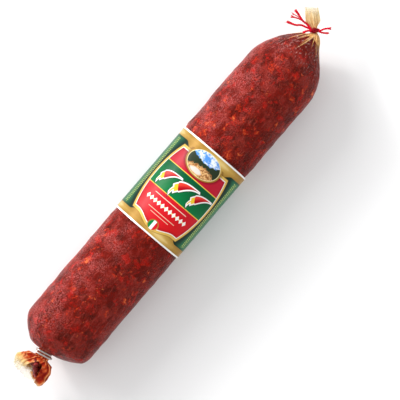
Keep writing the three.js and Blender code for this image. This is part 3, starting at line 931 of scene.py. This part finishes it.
# The shield's rim, from its edge in: gold with a dark line, white, and red with a dark edge.
colour = print_over(colour, (0.72, 0.47, 0.1), (inside + 0.3).fill())
colour = print_over(colour, (0.2, 0.09, 0.01), (-(abs(inside + 0.4) - 0.3)).fill(0.3), 0.6)
colour = print_over(colour, (0.88, 0.85, 0.8), (inside - 1.9).fill())
red = print_over((0.64, 0.006, 0.01), (0.5, 0.008, 0.03), (y + x * 0.4).step(-28, 30))
# Painted sheen: the red turns paler and pinker towards the lit side.
red = print_over(red, (0.52, 0.06, 0.085), (x + y * 0.3).step(4, -26), 0.25)
panel = (inside - RED_EDGE).fill()
colour = print_over(colour, red, panel)
colour = print_over(colour, (0.22, 0.0, 0.01), panel * inside.step(5.6, 2.6), 0.45)

# A green band across it, edged with yellow hairlines, with three chilli peppers on it.
sash = -(abs(y - SASH_AT) - SASH_HALF)
sash_green = print_over((0.0, 0.18, 0.045), (0.0, 0.09, 0.03), (y + x * 0.2).step(-10, 16))
colour = print_over(colour, sash_green, sash.fill() * panel)
colour = print_over(colour, (0.85, 0.62, 0.08), (-(abs(sash) - 0.32)).fill() * panel)
for at, tilt, size in (((-16.5, 4.2), 0.6, 1.2), ((0.6, 4.0), 0.6, 1.34), ((17.8, 4.2), 0.6, 1.2)):
    run, rise = around(x, y, at, tilt)
    run, rise = run * (1 / size), rise * (1 / size)
    body = rise + run * run * 0.034 - 1.4
    thin = run.step(10.0, -5.0) * 2.7
    pod = (thin.least((run + 5.0) * 1.8) - abs(body)).least(-(run - 9.2))
    cap = (-(abs(run + 5.2) - 1.2)).least(-(abs(body) - 2.2))
    stalk = (-(abs(body + (run + 6.4) * (run + 6.4) * 0.12) - 0.55)).least(-(abs(run + 7.6) - 1.5))
    whole = pod.most(cap).most(stalk)
    colour = print_over(colour, (0.02, 0.05, 0.03), (whole + 1.4).fill(0.25) * panel, 0.7)
    colour = print_over(colour, (0.9, 0.9, 0.88), (whole + 0.85).fill() * panel)
    pod_red = print_over((0.42, 0.0, 0.008), (0.8, 0.05, 0.03), body.step(-1.2, 1.6))
    colour = print_over(colour, pod_red, pod.fill())
    colour = print_over(colour, (0.85, 0.55, 0.03), cap.most(stalk).fill())

# Plain rules and a row of small diamonds below.
for at, thick, half, tone, strength in RULES:
    rule = (-(abs(y - at) - thick)).fill() * (-(wide - half)).fill()
    colour = print_over(colour, tone, rule, strength)
bead = (x * 0.25 + 0.5).sum("FRACT") - 0.5
row = (-(wide - GEMS_HALF)).fill()
gem = -(abs(bead) * 4.0 + abs(y - GEMS_AT) * 0.72 - 1.75)
colour = print_over(colour, (0.93, 0.9, 0.86), gem.fill(0.15) * row)
dot = -((abs(bead) * -4.0 + 2.0).far(y - GEMS_AT) - 0.6)
colour = print_over(colour, (0.9, 0.66, 0.2), dot.fill(0.15) * row)

# An oval picture of a village field under hills, in a gold rim.
px, py = x * (1 / OVAL_WIDE), (y - OVAL_AT) * (1 / OVAL_HIGH)
oval = px.far(py)
colour = print_over(colour, (0.05, 0.0, 0.0), (-(oval - 1.1)).fill(0.08) * (inside + 3).fill(), 0.5)
colour = print_over(colour, gold, (-(oval - 1.0)).fill(0.012))
colour = print_over(colour, (0.85, 0.75, 0.4), (-(abs(oval - 0.9) - 0.02)).fill(0.015))
clouds = (speckle * 0.5 + cloud * 0.9).step(0.62, 0.8)
scenery = print_over((0.09, 0.3, 0.78), (0.85, 0.9, 0.96), clouds)
hill = py + px * px * -0.55 - cloud * 0.7 + 0.22
scenery = print_over(scenery, (0.02, 0.035, 0.016), (-hill).fill(0.04))
ground = py + (px - 0.1) * (px - 0.1) * 0.5 + speckle * 0.7 - 0.22
fields = print_over((0.3, 0.11, 0.03), (0.8, 0.48, 0.2), speckle.step(0.4, 0.6))
scenery = print_over(scenery, fields, (-ground).fill(0.06))
pale_rocks = -(px + 0.15).far((py + 0.62) * 1.7) + 0.36 + cloud * 0.2 - speckle * 0.3
scenery = print_over(scenery, (0.72, 0.66, 0.6), pale_rocks.fill(0.06))
colour = print_over(colour, scenery, (-(oval - 0.885)).fill(0.015))

# A small round seal in three stripes at the foot.
ring = x.far(y - SEAL_AT)
colour = print_over(colour, gold, (-(ring - SEAL_RIM)).fill())
stripes = print_over((0.9, 0.9, 0.9), (0.0, 0.22, 0.05), (-(x + SEAL_STRIPE)).fill())
stripes = print_over(stripes, (0.65, 0.01, 0.02), (x - SEAL_STRIPE).fill())
colour = print_over(colour, stripes, (-(ring - SEAL_REACH)).fill())

# Painted shade: the print is darkened towards the lit side, so that it looks evenly lit.
painted_side_shade = print_over((0.68, 0.68, 0.68), (1.0, 1.0, 1.0), x.step(-42, 8))
colour = blend(tree, 1.0, colour, painted_side_shade, "MULTIPLY")
# White paper shows at both cut edges.
colour = print_over(colour, (0.88, 0.88, 0.87), (high - BARE_EDGE).fill())
tree.links.new((band.fill() * 0.12).socket, shader.inputs["Metallic"])
grain = noise_at(tree, flat, 2.6, 5.0)
surface(tree, shader, colour, plus(tree, times(tree, grain, 0.25), 0.22), grain, 0.12, 0.0003)
label.data.materials.append(printed)
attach(label, "root")
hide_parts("label")

# ---- Floor, light and camera --------------------------------------------------------------------
# The sausage lies on a plain pale table, in soft light from one long side, and the camera looks
# straight down on it from high above.

TABLE_SIZE, TABLE_TONE = 6, (0.93, 0.93, 0.935, 1)
CEILING, NEAR_WALL, FAR_WALL = ((value,) * 3 for value in (0.74, 0.92, 1.22))

deselect()
bpy.ops.mesh.primitive_plane_add(size=TABLE_SIZE)
floor = bpy.context.object
floor.name = "table_top"
pale, tree, shader = new_material("pale table", Roughness=0.7, Specular_IOR_Level=0.2)
shader.inputs["Base Color"].default_value = TABLE_TONE
floor.data.materials.append(pale)

world = bpy.data.worlds.new("studio")
bpy.context.scene.world = world
world.use_nodes = True
tree = world.node_tree
way = node(tree, "SeparateXYZ", {0: node(tree, "TexCoord").outputs["Generated"]}).outputs
# The white walls round the table shine more than the dark ceiling with the camera in it, and
# the wall behind the lamp the most.
walls = blend(tree, share_between(tree, way["Y"], -0.9, 0.9), NEAR_WALL, FAR_WALL)
tint = blend(tree, share_between(tree, way["Z"], 0.9, 0.25), CEILING, walls)
tree.links.new(tint, tree.nodes["Background"].inputs["Color"])


def soft_lamp(name, spot, target, size, power):
    light = bpy.data.lights.new(name, "AREA")
    light.shape, light.size, light.energy = "DISK", size, power
    lamp = bpy.data.objects.new(name, light)
    bpy.context.collection.objects.link(lamp)
    way = Vector(target) - Vector(spot)
    lamp.matrix_world = Matrix.Translation(spot) @ way.to_track_quat("-Z", "Y").to_matrix().to_4x4()


LAMP_SPOT, LAMP_AIM = (0.1, 1.5, 0.85), (0, 0, 0.03)
soft_lamp("key", LAMP_SPOT, LAMP_AIM, 1.3, 25)
soft_lamp("small", LAMP_SPOT, LAMP_AIM, 0.3, 9)

VIEW_MIDDLE = (0.0055, -0.0161)
VIEW_TURN = math.radians(-49.43)
VIEW_HEIGHT = 2.5
VIEW_WIDTH = 0.3312
SENSOR = 36
lens = bpy.data.cameras.new("camera")
lens.sensor_width = SENSOR
lens.lens = SENSOR * VIEW_HEIGHT / VIEW_WIDTH
camera = bpy.data.objects.new("camera", lens)
bpy.context.collection.objects.link(camera)
camera.location = (*VIEW_MIDDLE, AXIS_HEIGHT * MM + VIEW_HEIGHT)
camera.rotation_euler = (0, 0, VIEW_TURN)
bpy.context.scene.camera = camera
bpy.context.scene.view_settings.view_transform = "Standard"
